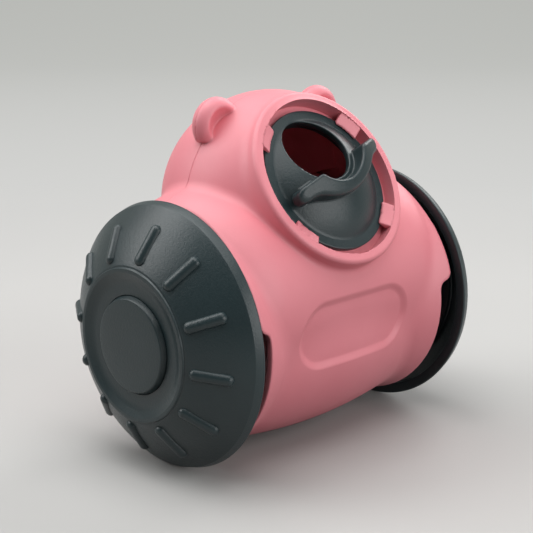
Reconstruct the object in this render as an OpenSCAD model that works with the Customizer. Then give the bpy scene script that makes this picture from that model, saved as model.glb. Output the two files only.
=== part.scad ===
// Treat dispensing dog toy. A hollow rounded body, moulded as a front and a rear shell, hangs
// between two free-turning dish wheels. A lid with a feeding hole turns in a tilted mouth, and
// a weight under the chamber floor keeps the head up.
// +X runs along the axle, the front faces -Y, +Z is up, and the toy stands on z = 0.

/* [Wheels] */
// Radius of the wheel at its rim
wheel_r = 46; // [42:0.5:54]
// Gap between the body's skirt and the rim
wheel_gap = 2.6; // [1.6:0.1:5]
// Axial width of the rim band
rim_band = 3.4; // [2.4:0.2:5]
// Loss of radius across the rim band
rim_taper = 1.1; // [0.4:0.1:2]
// Width of the rim's inboard face
rim_face = 4; // [3:0.2:6]
// Depth of the wheel, from its inboard edge to the hub ring's crest
wheel_depth = 17.2; // [15:0.2:21]
// Wall of the wheel
wheel_wall = 2.4; // [1.8:0.1:3]
// Radius of the circle that crowns the flank between rim and hub
flank_crown = 70; // [50:5:120]
// Radius of the hub ring's crest
hub_ring_r = 25.2; // [23:0.2:28]
// Flat width of the hub ring's crest
hub_ring_w = 1.1; // [0.6:0.1:2]
// Rounding that the flank leaves at the hub ring's outer edge
ring_edge = 0.5; // [0.2:0.1:1]
// Depth of the groove inside the hub ring
hub_groove = 2.3; // [1.2:0.1:3]
// Run of the groove's slope for each unit of its depth
groove_run = 1.6; // [1:0.1:2]
// Radius of the hub cap's face
cap_r = 15; // [14:0.1:17]
// Height of the hub cap above the hub ring
cap_proud = 0.6; // [0.1:0.1:1]
// Lean of the hub cap's edge
cap_lean = 2; // [0.5:0.1:2.4]
// Thickness of the hub cap's disc
cap_wall = 2.1; // [1.6:0.1:2.4]
// Number of ribs on the flank
rib_count = 12; // [8:1:16]
// Angle of the first rib above the front
rib_start = 23.5; // [0:0.5:30]
// Width of a rib
rib_w = 3.2; // [2.4:0.1:4]
// Height of a rib over the flank
rib_h = 1.5; // [0.8:0.1:1.6]
// Radius where a rib starts
rib_r_in = 28; // [27:0.2:30]
// Radius where a rib ends
rib_r_out = 39.2; // [34:0.2:41]
// Radius of the stiffening ring inside the wheel
stiffener_r = 31; // [27:0.5:35]
// Depth of the stiffening ring
stiffener_d = 3; // [1:0.5:5]

/* [Axles] */
// Radius of the spindle that a wheel turns on
spindle_r = 4; // [3.5:0.1:5]
// Radial running clearance of the wheel on its spindle
run_clear = 0.05; // [0.02:0.01:0.1]
// Axial running gap at each end of the wheel's bore
end_play = 0.3; // [0.2:0.05:0.6]
// Radius of the wheel's bore boss
bore_boss_r = 7.2; // [6.5:0.1:8]
// Radius of the screw well in the hub
well_r = 9.2; // [8.6:0.1:10]
// Depth of the screw well
well_depth = 4.5; // [4.2:0.1:6]
// Thickness of the plate that carries the spindle
plate_t = 3; // [2:0.2:4]
// Radius of the screw bosses behind the spindle plate
plate_boss_r = 3; // [2.6:0.1:3.4]
// Length of those bosses
plate_boss_l = 7; // [5:0.5:9]
// Distance of those bosses from the shells' parting plane
plate_boss_gap = 0.5; // [0.3:0.1:1.5]
// Radius of the retaining washer
washer_r = 6.5; // [5.5:0.1:7]
// Thickness of the retaining washer
washer_t = 0.8; // [0.5:0.1:1.2]

/* [Body] */
// Half width of the body at its skirts
skirt_x = 48.6; // [46:0.2:52]
// Set-in of the skirts from the wheel's rim
skirt_in = 3.1; // [2:0.1:4]
// Radius of the spool that the flares grow from
core_r = 35.7; // [34:0.1:36.5]
// Half length of that spool's straight middle
flare_x = 28.4; // [26:0.2:31]
// Set-back of the skirts' lower half
skirt_cut = 4.8; // [3:0.1:6]
// Loss of the skirt's radius along that set-back
skirt_fall = 1.2; // [0.6:0.1:2]
// Height of the step in the skirt above the axle
skirt_step = 8.5; // [2:0.5:12]
// Radius of the rounding in that step
skirt_step_r = 4.2; // [1:0.2:4.6]
// Depth of the end wall inside the skirt
end_recess = 7.6; // [6:0.2:9]
// Wall of the shells
wall = 2.6; // [2:0.1:3.2]
// Distance of the shells' parting plane behind the axle
seam_y = 5; // [3:0.5:8]
// Radius of the belly at mid length
belly_r = 38.3; // [36:0.1:40]
// Drop of the belly's axis below the axle
belly_drop = 5.1; // [3:0.1:6]
// Lengthwise crown radius of the belly
belly_crown = 206; // [150:2:300]
// Radius of the chest and shoulders
chest_r = 38.4; // [36:0.1:41]
// Rise of the chest's axis above the axle
chest_rise = 10; // [8:0.1:12]
// Distance of the chest's axis in front of the axle
chest_ahead = 0.6; // [0:0.1:3]
// Half length of the chest's straight middle
chest_flat = 34; // [28:0.5:38]
// Loss of the chest's radius from there to the skirt's edge
chest_fall = 4.2; // [2:0.1:6]

/* [Head] */
// Radius of the head
head_r = 39.6; // [37:0.1:43]
// Rise of the head's centre above the axle
head_rise = 38.35; // [34:0.1:42]
// Distance of the head's centre behind the axle
head_back = 2.75; // [0:0.1:5]
// Radius of an ear
ear_r = 9.5; // [7:0.1:11]
// Thickness of an ear
ear_t = 8; // [6:0.1:9]
// Lean of an ear from the vertical, degrees
ear_angle = 40; // [30:1:50]
// How far the ear's centre lies under the head's surface
ear_sink = 1; // [0:0.1:3]
// Height of the ear's centre over its flat lower end
ear_cut = 5.2; // [4:0.1:7]
// Radius of the hollow in the ear
ear_dish_r = 6.4; // [4:0.1:7]
// Depth of the hollow in the ear
ear_dish_d = 3; // [1.5:0.1:3.5]

/* [Panel] */
// Length of the sunk panel on the chest
panel_l = 54; // [40:0.5:58]
// Height of the sunk panel
panel_h = 23; // [16:0.5:26]
// Depth of the sunk panel
panel_d = 1.2; // [0.4:0.1:1.6]

/* [Mouth] */
// Tilt of the mouth's axis above the horizontal, degrees
mouth_tilt = 32.6; // [25:0.2:40]
// Offset of the mouth's axis below the head's centre
mouth_drop = 4.45; // [2:0.05:6]
// Outside radius of the collar
collar_r = 32.2; // [31:0.1:34]
// Height of the collar over its meeting with the head
collar_rise = 7.85; // [5:0.05:10]
// Rounding of the collar's lip
lip_round = 1.5; // [0.5:0.1:1.7]
// Inside radius of the mouth
mouth_r = 28.7; // [28:0.1:29.5]
// Inside radius of the ledge that carries the lid
throat_r = 24.5; // [23:0.1:25.5]
// Thickness of that ledge
ledge_t = 2.2; // [1.6:0.1:3]
// Angle of each lid tab from the level diameter, degrees
tab_angle = 41; // [36:0.5:50]
// Width of a lid tab, degrees
tab_w = 20; // [14:0.5:26]
// Reach of a lid tab inside the mouth
tab_reach = 4.1; // [3:0.1:4.4]
// Thickness of a lid tab
tab_t = 2.4; // [1.6:0.1:3]
// Thickness that the slope of a lid tab's top leaves at its inner edge
tab_edge = 0.6; // [0.4:0.1:1.6]
// Drop of a lid tab's top below the lip at its root
tab_drop = 0.1; // [0.05:0.05:0.5]

/* [Lid] */
// Turn of the lid as it stands, degrees
lid_turn = 17.6; // [0:0.1:360]
// Clearance of the lid between ledge and tabs
lid_play = 0.3; // [0.2:0.05:0.5]
// Radius of the lid's flange
flange_r = 26; // [25.6:0.1:27.8]
// Thickness of the lid's flange
flange_t = 2; // [1.4:0.1:2.6]
// Radial running clearance of the lid's spigot in the throat
spigot_clear = 0.08; // [0.03:0.01:0.1]
// Length of the lid's spigot under the flange
spigot_l = 4; // [2:0.1:6]
// Wall of the lid
lid_wall = 2.2; // [1.6:0.1:2.8]
// Radius of the lid's dome
dome_r = 22.35; // [21:0.05:23]
// Height of the lid's dome
dome_h = 7.5; // [5:0.1:10]
// Radius of the feeding hole
hole_r = 12.26; // [8:0.02:12.6]
// Distance of the feeding hole from the lid's axis
hole_off = 10; // [8:0.1:10.2]
// Radius of the grip bar's inner curve
bar_in_r = 15.4; // [14.4:0.1:17]
// Radius of the grip bar's outer curve
bar_out_r = 27; // [24:0.5:36]
// Width of the grip bar at its middle
bar_w = 4.3; // [2.4:0.1:6]
// Gap between the feeding hole and the grip bar's middle
bar_gap = 1.9; // [0.6:0.1:3]
// How far the bar's wings reach above the lid's axis
bar_top = 2.5; // [1:0.1:4]
// Width of the bar's wings
wing_w = 5.1; // [4:0.1:7]
// Height of the grip bar over the lip at its inner edge
bar_h = 9; // [6:0.1:11]
// Radius of the dome that the grip bar's top follows
roof_r = 60; // [50:1:80]
// Place of that dome's middle above the lid's axis
roof_y = 16.6; // [12:0.2:20]
// Height of the grip bar's underside over the lip
bar_foot = 0.6; // [0.3:0.1:1.5]
// Gap between the bar's tips and the lid tabs
tip_gap = 0.5; // [0.3:0.1:2]

/* [Weight] */
// Length of the weight across the seam
weight_w = 36; // [24:0.5:40]
// Offset of the weight's middle behind the axle
weight_y = -1.8; // [-8:0.05:8]
// Clearance round the weight and the chamber floor
weight_clear = 0.2; // [0.1:0.05:0.5]
// Gap between the weight and the low screw bosses
weight_gap = 2.5; // [1:0.1:4]
// Thickness of the chamber floor
floor_t = 2; // [1.4:0.1:3]
// Width of the ribs that hold the floor down
floor_rib_w = 20; // [10:1:28]
// Size of those ribs in section
floor_rib = 2.2; // [1.4:0.1:3]

/* [Screws] */
// Radius of a shell screw boss
boss_r = 3.5; // [3.2:0.1:4]
// Distance of the low bosses from the middle
low_boss_x = 26; // [24:0.2:28]
// Rise of the high bosses above the axle
high_boss_rise = 38; // [32:0.5:40]
// Shank radius of a shell screw
screw_r = 1.5; // [1.2:0.05:1.7]
// Head radius of a shell screw
screw_head_r = 2.8; // [2.4:0.05:3]
// Head height of a shell screw
screw_head_h = 2; // [1.4:0.1:2.6]
// Grip of a shell screw behind the seam
screw_grip = 7; // [5:0.2:9]
// Bite of a shell screw in front of the seam
screw_bite = 8; // [6:0.2:9]
// Shank radius of a plate or wheel screw
small_screw_r = 1.4; // [1.1:0.05:1.5]
// Head radius of a plate or wheel screw
small_head_r = 2.6; // [2.2:0.05:2.8]
// Head height of a plate or wheel screw
small_head_h = 1.6; // [1.2:0.1:2]
// Radial clearance of a shank in its hole
screw_clear = 0.05; // [0.03:0.01:0.2]
// Radial clearance of a shell screw's head in its counterbore
head_clear = 0.4; // [0.2:0.05:0.5]
// Depth left under a screw's point
point_gap = 1; // [0.5:0.1:2]

/* [Hidden] */
$fn = 96;
fine = 360;
PINK = [0.93, 0.6, 0.65];
GREY = [0.27, 0.31, 0.32];
STEEL = [0.66, 0.67, 0.68];
IRON = [0.3, 0.3, 0.31];
over = 1;
far = 4 * wheel_r;
axle_z = wheel_r;

// Spool: half of its side line as [radius, place along the axle], a flare and a flatter skirt
skirt_r = wheel_r - skirt_in;
low_skirt_x = skirt_x - skirt_cut;
flare_side = [[core_r, flare_x],
              [skirt_r - skirt_fall, low_skirt_x],
              [skirt_r, skirt_x],
              [skirt_r, skirt_x + over]];
end_out = skirt_x - end_recess;
end_in = end_out - wall;

// Chest: half of its side line, steeper towards the skirt
chest_end_r = chest_r - chest_fall;
chest_side = [[chest_r, chest_flat],
              [chest_r - chest_fall / 4, (chest_flat + skirt_x) / 2],
              [chest_end_r, skirt_x],
              [chest_end_r, skirt_x + over]];

// Mouth: a frame whose Z is the mouth's axis, with its origin in the plane of the lip
head_z = axle_z + head_rise;
lip_out = sqrt(head_r * head_r - collar_r * collar_r) + collar_rise;
ledge_z = -(tab_t + flange_t + 2 * lid_play);
spigot_r = throat_r - spigot_clear;

// Lid: heights over the lip
flange_top = -(tab_t + lid_play);
flange_low = flange_top - flange_t;
dome_sphere = (dome_r * dome_r + dome_h * dome_h) / (2 * dome_h);
dome_cz = flange_top + dome_h - dome_sphere;
bar_mid = hole_off - hole_r - bar_gap;
bar_tip_r = mouth_r - tab_reach - tip_gap;

// Wheels: planes along the axle, and the flank's crowning circle
rim_x = skirt_x + wheel_gap;
ring_x = rim_x + wheel_depth;
hub_x = ring_x - hub_groove;
well_x = hub_x - well_depth;
plate_x = end_out + plate_t;
bore_in_x = plate_x + end_play;
spindle_x = well_x + end_play;
inner_hub_x = hub_x - wheel_wall;
well_boss_r = well_r + wheel_wall;
well_boss_x = well_x - wheel_wall;
flank_foot = [wheel_r - rim_taper, rim_x + rim_band];
flank_top = [hub_ring_r + hub_ring_w / 2 + ring_edge, ring_x - ring_edge];
flank_c = arc_centre(flank_foot, flank_top, flank_crown);

// Shell screws, chamber floor and spindle plates
low_boss_z = axle_z - belly_drop - belly_at(low_boss_x, wall) + boss_r;
high_boss_x = max(end_in, head_r - wall) - boss_r + over;
seat_y = seam_y + screw_grip;
floor_z = low_boss_z + boss_r + over;
weight_l = 2 * (low_boss_x - boss_r - weight_gap);
plate_screw = seam_y + plate_boss_r + plate_boss_gap;
plate_r = plate_screw * sqrt(2) + plate_boss_r;

// Radius of the belly at a distance x from mid length, taken in by an inset
function belly_at(x, inset) = belly_r - belly_crown + sqrt(pow(belly_crown - inset, 2) - x * x);
// Outline of a revolved form from half of its side line, taken in by an inset
function both_halves(side, inset) = concat(
    [[0, -side[len(side) - 1][1]]],
    [for (i = [len(side) - 1:-1:0]) [side[i][0] - inset, -side[i][1]]],
    [for (p = side) [p[0] - inset, p[1]]],
    [[0, side[len(side) - 1][1]]]);
// Centre of a circle of radius r through p and q, on the side towards the axle
function arc_centre(p, q, r) =
    let (m = (p + q) / 2, d = q - p, h = norm(d), s = sqrt(r * r - h * h / 4))
    m + s * [-d[1], d[0]] / h;
// Axial place of the flank at a given radius
function flank_x(r) = flank_c[1] + sqrt(flank_crown * flank_crown - pow(r - flank_c[0], 2));

// Revolves a profile of [radius, place along the axle] about a line along X
module about_x(y = 0, z = axle_z) {
    translate([0, y, z]) rotate([0, 90, 0]) rotate_extrude() children();
}

// A cylinder along +X from x0 to x1 on the axle's line, or at [y, z] off it
module rod_x(r, x0, x1, y = 0, z = axle_z) {
    translate([x0, y, z]) rotate([0, 90, 0]) cylinder(r = r, h = x1 - x0);
}

// A cylinder along +Y from y0 to y1
module rod_y(r, y0, y1, x, z) {
    translate([x, y0, z]) rotate([-90, 0, 0]) cylinder(r = r, h = y1 - y0);
}

// The same piece on the right side, or mirrored to the left
module on_side(side) {
    if (side > 0) children();
    else mirror([1, 0, 0]) children();
}

module both_sides() {
    children();
    mirror([1, 0, 0]) children();
}

// Places its children in the mouth's frame, X level and Z outwards
module in_mouth() {
    translate([0, head_back, head_z])
        rotate([90 - mouth_tilt, 0, 0])
            translate([0, -mouth_drop, lip_out]) children();
}

// Barrel with a crowned length
module belly(inset = 0, half_l = end_out - over) {
    about_x(0, axle_z - belly_drop) intersection() {
        translate([belly_r - belly_crown, 0]) circle(r = belly_crown - inset, $fn = fine);
        translate([0, -half_l]) square([belly_r, 2 * half_l]);
    }
}

// Drum that makes the chest in front and the shoulders on top
module chest(inset = 0, half_l = skirt_x + over / 2) {
    about_x(-chest_ahead, axle_z + chest_rise) intersection() {
        polygon(both_halves(chest_side, inset));
        translate([0, -half_l]) square([chest_r, 2 * half_l]);
    }
}

module head(inset = 0) {
    translate([0, head_back, head_z]) rotate([90, 0, 0]) sphere(r = head_r - inset);
}

// Spool between the skirts: a core with a flare at each end, cut to length later
module spool(inset = 0) {
    about_x() polygon(both_halves(flare_side, inset));
}

module collar() {
    in_mouth() rotate_extrude() {
        translate([0, -collar_r]) square([collar_r, collar_r - lip_round]);
        translate([0, -2 * lip_round]) square([collar_r - lip_round, 2 * lip_round]);
        translate([collar_r - lip_round, -lip_round]) circle(r = lip_round);
    }
}

// Ear: a round-edged disc with a dished front and a flat lower end
module ear() {
    d = head_r - ear_sink;
    edge = ear_t / 2;
    dish = (ear_dish_r * ear_dish_r + ear_dish_d * ear_dish_d) / (2 * ear_dish_d);
    translate([d * sin(ear_angle), seam_y, head_z + d * cos(ear_angle)])
        rotate([90, 0, 0]) difference() {
            rotate_extrude() {
                translate([0, -edge]) square([ear_r - edge, ear_t]);
                translate([ear_r - edge, 0]) circle(r = edge);
            }
            translate([0, 0, edge + dish - ear_dish_d]) sphere(r = dish);
            translate([-far / 2, -ear_cut - far, -far / 2]) cube(far);
        }
}

module outer_form() {
    head();
    belly();
    chest();
    spool();
    collar();
    both_sides() ear();
}

module chamber() {
    head(wall);
    belly(wall, end_in);
    chest(wall, end_in);
    rod_x(core_r - wall, -end_in, end_in);
}

// Ring that the lid turns in: the mouth's wall and the ledge under the lid
module mouth_ring() {
    in_mouth() translate([0, 0, ledge_z - ledge_t])
        cylinder(r = collar_r - lip_round, h = ledge_t - ledge_z - lip_round);
}

module mouth_cut() {
    in_mouth() {
        translate([0, 0, ledge_z]) cylinder(r = mouth_r, h = head_r);
        translate([0, 0, -lip_out]) cylinder(r = throat_r, h = lip_out);
    }
}

// Four tabs that the lid snaps under, sloping down inwards from just below the lip
module lid_tabs() {
    tip = mouth_r - tab_reach;
    root = mouth_r + over / 2;
    in_mouth() for (a = [tab_angle, 180 - tab_angle, 180 + tab_angle, -tab_angle])
        rotate([0, 0, a - tab_w / 2]) rotate_extrude(angle = tab_w)
            polygon([[tip, -tab_t], [root, -tab_t], [root, -tab_drop], [tip, tab_edge - tab_t]]);
}

// Shell screw places as [x, z] on the right-hand side
function shell_screw_places() = [
    [low_boss_x, low_boss_z],
    [high_boss_x, axle_z + high_boss_rise]
];

module screw_bosses() {
    front_end = seam_y - screw_bite - point_gap - over;
    low = shell_screw_places()[0];
    high = shell_screw_places()[1];
    both_sides() {
        intersection() {
            rod_y(boss_r, front_end, far, low[0], low[1]);
            belly(wall / 2);
        }
        intersection() {
            rod_y(boss_r, front_end, far, high[0], high[1]);
            chest(wall / 2);
        }
    }
}

module screw_cuts() {
    both_sides() for (p = shell_screw_places()) {
        rod_y(screw_r + screw_clear, seam_y - screw_bite - point_gap, seat_y + over, p[0], p[1]);
        rod_y(screw_head_r + head_clear, seat_y, far, p[0], p[1]);
    }
}

// Corners of the square on which the spindle plate's screws lie, as [y, z]
function plate_screw_places() = [
    for (y = [-plate_screw, plate_screw], z = [-plate_screw, plate_screw]) [y, axle_z + z]
];

module plate_bosses() {
    both_sides() for (p = plate_screw_places())
        rod_x(plate_boss_r, end_in - plate_boss_l, end_in + over, p[0], p[1]);
}

module plate_screw_cuts() {
    both_sides() for (p = plate_screw_places())
        rod_x(small_screw_r + screw_clear, end_in - plate_boss_l + over, end_out + over, p[0], p[1]);
}

// Ribs on the end walls that hold the chamber floor down
module floor_ribs() {
    both_sides() translate([end_in - floor_rib, -floor_rib_w / 2, floor_z + floor_t + weight_clear])
        cube([floor_rib + over, floor_rib_w, floor_rib]);
}

// Hollows in the body's ends, one wall inside the flares and the shoulders
module end_recesses() {
    both_sides() intersection() {
        union() {
            spool(wall);
            chest(wall);
        }
        translate([end_out, -far / 2, 0]) cube(far);
    }
}

// The skirts end on a plane, and their lower half is set back, with a rounded step
module skirt_cuts() {
    top = axle_z + skirt_step;
    both_sides() translate([skirt_x, -far / 2, -over]) cube(far);
    both_sides() difference() {
        translate([low_skirt_x, -far / 2, -over]) cube([far, far, top + over]);
        translate([low_skirt_x, -far / 2, top - skirt_step_r])
            cube([skirt_step_r, far, skirt_step_r + over]);
    }
    both_sides() translate([low_skirt_x + skirt_step_r, 0, top - skirt_step_r])
        rotate([90, 0, 0]) cylinder(r = skirt_step_r, h = far, center = true);
}

// Sunk panel on the chest, its floor parallel to the body's surface
module panel_cut() {
    difference() {
        translate([0, -axle_z / 2, axle_z]) rotate([90, 0, 0]) linear_extrude(far) {
            square([panel_l - panel_h, panel_h], center = true);
            for (s = [-1, 1]) translate([s * (panel_l - panel_h) / 2, 0]) circle(d = panel_h);
        }
        belly(panel_d);
        chest(panel_d);
        rod_x(core_r - panel_d, -end_in, end_in);
    }
}

module whole_shell() {
    difference() {
        union() {
            difference() {
                outer_form();
                chamber();
            }
            mouth_ring();
            screw_bosses();
            plate_bosses();
            floor_ribs();
        }
        mouth_cut();
        panel_cut();
        end_recesses();
        skirt_cuts();
        screw_cuts();
        plate_screw_cuts();
    }
    lid_tabs();
}

module front_shell() {
    color(PINK) intersection() {
        whole_shell();
        translate([-far / 2, seam_y - far, -over]) cube(far);
    }
}

module rear_shell() {
    color(PINK) intersection() {
        whole_shell();
        translate([-far / 2, seam_y, -over]) cube(far);
    }
}

// Plate that closes the weight's space and is the floor of the treat chamber
module chamber_floor() {
    color(PINK) intersection() {
        union() {
            belly(wall + weight_clear, end_in - weight_clear);
            rod_x(core_r - wall - weight_clear, weight_clear - end_in, end_in - weight_clear);
        }
        translate([-far / 2, -far / 2, floor_z]) cube([far, far, floor_t]);
    }
}

// Iron slug that follows the belly's floor
module counterweight() {
    color(IRON) intersection() {
        belly(wall + weight_clear);
        translate([-weight_l / 2, weight_y - weight_w / 2, 0]) cube([weight_l, weight_w, floor_z]);
    }
}

module shell_screws() {
    color(STEEL) both_sides() for (p = shell_screw_places()) {
        rod_y(screw_r, seam_y - screw_bite, seat_y, p[0], p[1]);
        rod_y(screw_head_r, seat_y, seat_y + screw_head_h, p[0], p[1]);
    }
}

// Spindle on a square-screwed round plate
module axle(side) {
    color(GREY) on_side(side) difference() {
        union() {
            rod_x(plate_r, end_out, plate_x);
            rod_x(spindle_r, end_out, spindle_x);
        }
        for (p = plate_screw_places())
            rod_x(small_screw_r + screw_clear, end_out - over, plate_x + over, p[0], p[1]);
        rod_x(small_screw_r + screw_clear, end_out + plate_t, spindle_x + over);
    }
}

module axle_screws(side) {
    color(STEEL) on_side(side) for (p = plate_screw_places()) {
        rod_x(small_screw_r, end_in - plate_boss_l + over + point_gap, plate_x, p[0], p[1]);
        rod_x(small_head_r, plate_x, plate_x + small_head_h, p[0], p[1]);
    }
}

module washer(side) {
    color(STEEL) on_side(side) difference() {
        rod_x(washer_r, spindle_x, spindle_x + washer_t);
        rod_x(small_screw_r + screw_clear, spindle_x - over, spindle_x + washer_t + over);
    }
}

module wheel_screw(side) {
    head_x = spindle_x + washer_t;
    color(STEEL) on_side(side) {
        rod_x(small_screw_r, plate_x + point_gap, head_x);
        rod_x(small_head_r, head_x, head_x + small_head_h);
    }
}

// Raised round bar with blunt ends that lies on the flank at one angle
module rib() {
    sink = rib_w / 2 - rib_h;
    a = [rib_r_in, flank_x(rib_r_in) - sink];
    b = [rib_r_out, flank_x(rib_r_out) - sink];
    fall = atan2(b[0] - a[0], b[1] - a[1]);
    translate([a[1], -a[0], 0]) rotate([0, 90, -fall]) cylinder(d = rib_w, h = norm(b - a));
}

// Dish wheel: crowned flank, hub ring and groove outside, bore boss and stiffening ring inside
module wheel(side) {
    color(GREY) on_side(side) {
        about_x() difference() {
            union() {
                intersection() {
                    translate([flank_c[0], flank_c[1]]) circle(r = flank_crown, $fn = fine);
                    polygon([[bore_boss_r, rim_x], [wheel_r, rim_x], flank_foot, [flank_foot[0], ring_x],
                             [bore_boss_r, ring_x]]);
                }
                polygon([[wheel_r - rim_face, rim_x], [wheel_r, rim_x], flank_foot,
                         [wheel_r - rim_face, rim_x + rim_band]]);
                translate([spindle_r + run_clear, bore_in_x])
                    square([bore_boss_r - spindle_r - run_clear, well_x - bore_in_x]);
                translate([spindle_r + run_clear, well_boss_x])
                    square([well_boss_r - spindle_r - run_clear, hub_x - well_boss_x]);
            }
            dish_profile();
            translate([0, well_x]) square([well_r, far]);
            groove_profile();
        }
        translate([0, 0, axle_z]) for (i = [0:rib_count - 1])
            rotate([-(rib_start + i * 360 / rib_count), 0, 0]) rib();
    }
}

// Hollow inside of the wheel, with the stiffening ring left standing
module dish_profile() {
    difference() {
        intersection() {
            translate([flank_c[0], flank_c[1]]) circle(r = flank_crown - wheel_wall, $fn = fine);
            translate([bore_boss_r, rim_x - over])
                square([wheel_r - rim_face - bore_boss_r, inner_hub_x - rim_x + over]);
        }
        translate([0, well_boss_x]) square([well_boss_r, far]);
        translate([stiffener_r, flank_x(stiffener_r) - wheel_wall - stiffener_d])
            square([wheel_wall / 2, far]);
    }
}

// Groove between the hub ring and the hub cap
module groove_profile() {
    inner = hub_ring_r - hub_ring_w / 2;
    polygon([[0, hub_x], [inner - hub_groove * groove_run, hub_x], [inner, ring_x],
             [inner, far], [0, far]]);
}

// Cap that snaps over the wheel screw
module hub_cap(side) {
    face_x = ring_x + cap_proud;
    spigot = well_r - run_clear;
    color(GREY) on_side(side) about_x() difference() {
        union() {
            polygon([[0, hub_x], [cap_r + cap_lean, hub_x], [cap_r, face_x], [0, face_x]]);
            translate([0, well_x + end_play]) square([spigot, hub_x - well_x]);
        }
        translate([0, well_x]) square([washer_r + over, face_x - cap_wall - well_x]);
    }
}

// Lid: flange and spigot, domed face with the feeding hole, and the grip bar
module lid() {
    color(GREY) in_mouth() rotate([0, 0, lid_turn]) difference() {
        union() {
            rotate_extrude() {
                translate([dome_r - lid_wall, flange_low])
                    square([flange_r - dome_r + lid_wall, flange_t]);
                translate([spigot_r - lid_wall, flange_low - spigot_l])
                    square([lid_wall, spigot_l + flange_t / 2]);
                difference() {
                    intersection() {
                        translate([0, dome_cz]) circle(r = dome_sphere, $fn = fine);
                        translate([0, flange_low]) square([dome_r, dome_h + flange_t + over]);
                    }
                    translate([0, dome_cz]) circle(r = dome_sphere - lid_wall, $fn = fine);
                }
            }
            grip_bar();
        }
        translate([0, hole_off, flange_low]) cylinder(r = hole_r, h = far);
    }
}

// Curved brim under the feeding hole, with two wings to grip
module grip_bar() {
    roof_z = bar_h + pow(roof_y - bar_mid, 2) / (2 * roof_r) - roof_r;
    difference() {
        intersection() {
            translate([0, 0, bar_foot]) linear_extrude(2 * bar_h) difference() {
                intersection() {
                    union() {
                        translate([0, bar_mid - bar_w + bar_out_r]) circle(r = bar_out_r, $fn = fine);
                        translate([-far / 2, bar_top - wing_w]) square([far, wing_w]);
                    }
                    circle(r = bar_tip_r);
                    translate([-far / 2, bar_top - far]) square(far);
                }
                translate([0, bar_mid + bar_in_r]) circle(r = bar_in_r);
            }
            translate([0, roof_y, roof_z]) sphere(r = roof_r);
        }
        translate([0, 0, dome_cz]) sphere(r = dome_sphere - lid_wall / 2);
    }
}

front_shell();
rear_shell();
chamber_floor();
counterweight();
shell_screws();
axle(-1);  // left_axle
axle(1);  // right_axle
axle_screws(-1);  // left_axle_screws
axle_screws(1);  // right_axle_screws
washer(-1);  // left_washer
washer(1);  // right_washer
wheel_screw(-1);  // left_wheel_screw
wheel_screw(1);  // right_wheel_screw
wheel(-1);  // left_wheel
wheel(1);  // right_wheel
hub_cap(-1);  // left_hub_cap
hub_cap(1);  // right_hub_cap
lid();
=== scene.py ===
import math

import bpy
import numpy as np
from mathutils import Matrix


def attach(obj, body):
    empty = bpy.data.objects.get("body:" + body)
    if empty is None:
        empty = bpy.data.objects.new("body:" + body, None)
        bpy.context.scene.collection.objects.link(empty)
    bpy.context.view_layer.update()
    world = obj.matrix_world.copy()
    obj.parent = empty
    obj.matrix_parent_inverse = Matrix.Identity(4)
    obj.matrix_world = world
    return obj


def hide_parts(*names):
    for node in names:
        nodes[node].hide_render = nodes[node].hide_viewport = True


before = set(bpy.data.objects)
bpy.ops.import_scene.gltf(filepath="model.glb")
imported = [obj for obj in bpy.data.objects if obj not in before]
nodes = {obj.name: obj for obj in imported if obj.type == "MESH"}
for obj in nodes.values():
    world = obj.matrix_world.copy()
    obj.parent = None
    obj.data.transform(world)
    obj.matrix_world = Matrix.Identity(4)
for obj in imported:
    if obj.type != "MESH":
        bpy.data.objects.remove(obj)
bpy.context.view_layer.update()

# Sizes of the toy are in millimetres, in the frame of the CAD model.
# Materials, stage, light and camera are in metres.
# The shells and the lid are distance fields, negative inside. Wheels and hub caps are turned half sections.
MM = 0.001
AXLE_Z = 46.0
SEAM_Y = 5.0
LIP = (0.0, -25.68, 97.249)
# Cosine and sine of the 32.6 degrees by which the mouth's axis rises
RISE_COS, RISE_SIN = 0.842452, 0.538771
MOUTH_N = (0.0, -RISE_COS, RISE_SIN)
MOUTH_V = (0.0, RISE_SIN, RISE_COS)
ALONG_X = np.array((1.0, 0.0, 0.0))
TO_AXLE = np.array((0.0, 0.0, AXLE_Z))


# Blends of distance fields

def smin(a, b, k):
    """Union with a fillet of about k."""
    return np.minimum(a, b) - np.maximum(k - np.abs(a - b), 0.0) ** 2 / (4.0 * k)


def smax(a, b, k):
    """Intersection with its edge rounded by about k."""
    return np.maximum(a, b) + np.maximum(k - np.abs(a - b), 0.0) ** 2 / (4.0 * k)


def cut(solid, tool):
    """The solid without the tool's space, with a sharp edge."""
    return np.maximum(solid, -tool)


def ramp(t):
    """Smooth step from 0 to 1."""
    t = np.clip(t, 0.0, 1.0)
    return t * t * (3.0 - 2.0 * t)


def slab(v, lo, hi):
    """Layer between two parallel faces."""
    return np.maximum(lo - v, v - hi)


def sloped(v, start, run, slope, cosine):
    """All under a straight side that rises from its start by slope times run."""
    return (v - start - slope * run) * cosine


# Meshing of distance fields

LAYERS = 12
ROOT_STEPS = 4
# Part of a grid edge, or of a cell, that cuts and vertices keep to
INNER_LO, INNER_HI = 0.02, 0.98
# Weight that draws a vertex to the mean of its cuts
PULL = 0.03
PROBE = 0.02
# Share of the way from a face's corner to its middle at which the corner's normal is read
NORMAL_INSET = 0.3
TINY = 1e-9


def sample(field, axes):
    """Values of the field on a grid, some layers at a time."""
    values = np.empty([len(places) for places in axes])
    for i in range(0, len(axes[0]), LAYERS):
        part = slice(i, i + LAYERS)
        values[part] = field(*np.meshgrid(axes[0][part], axes[1], axes[2], indexing="ij"))
    return values


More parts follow.
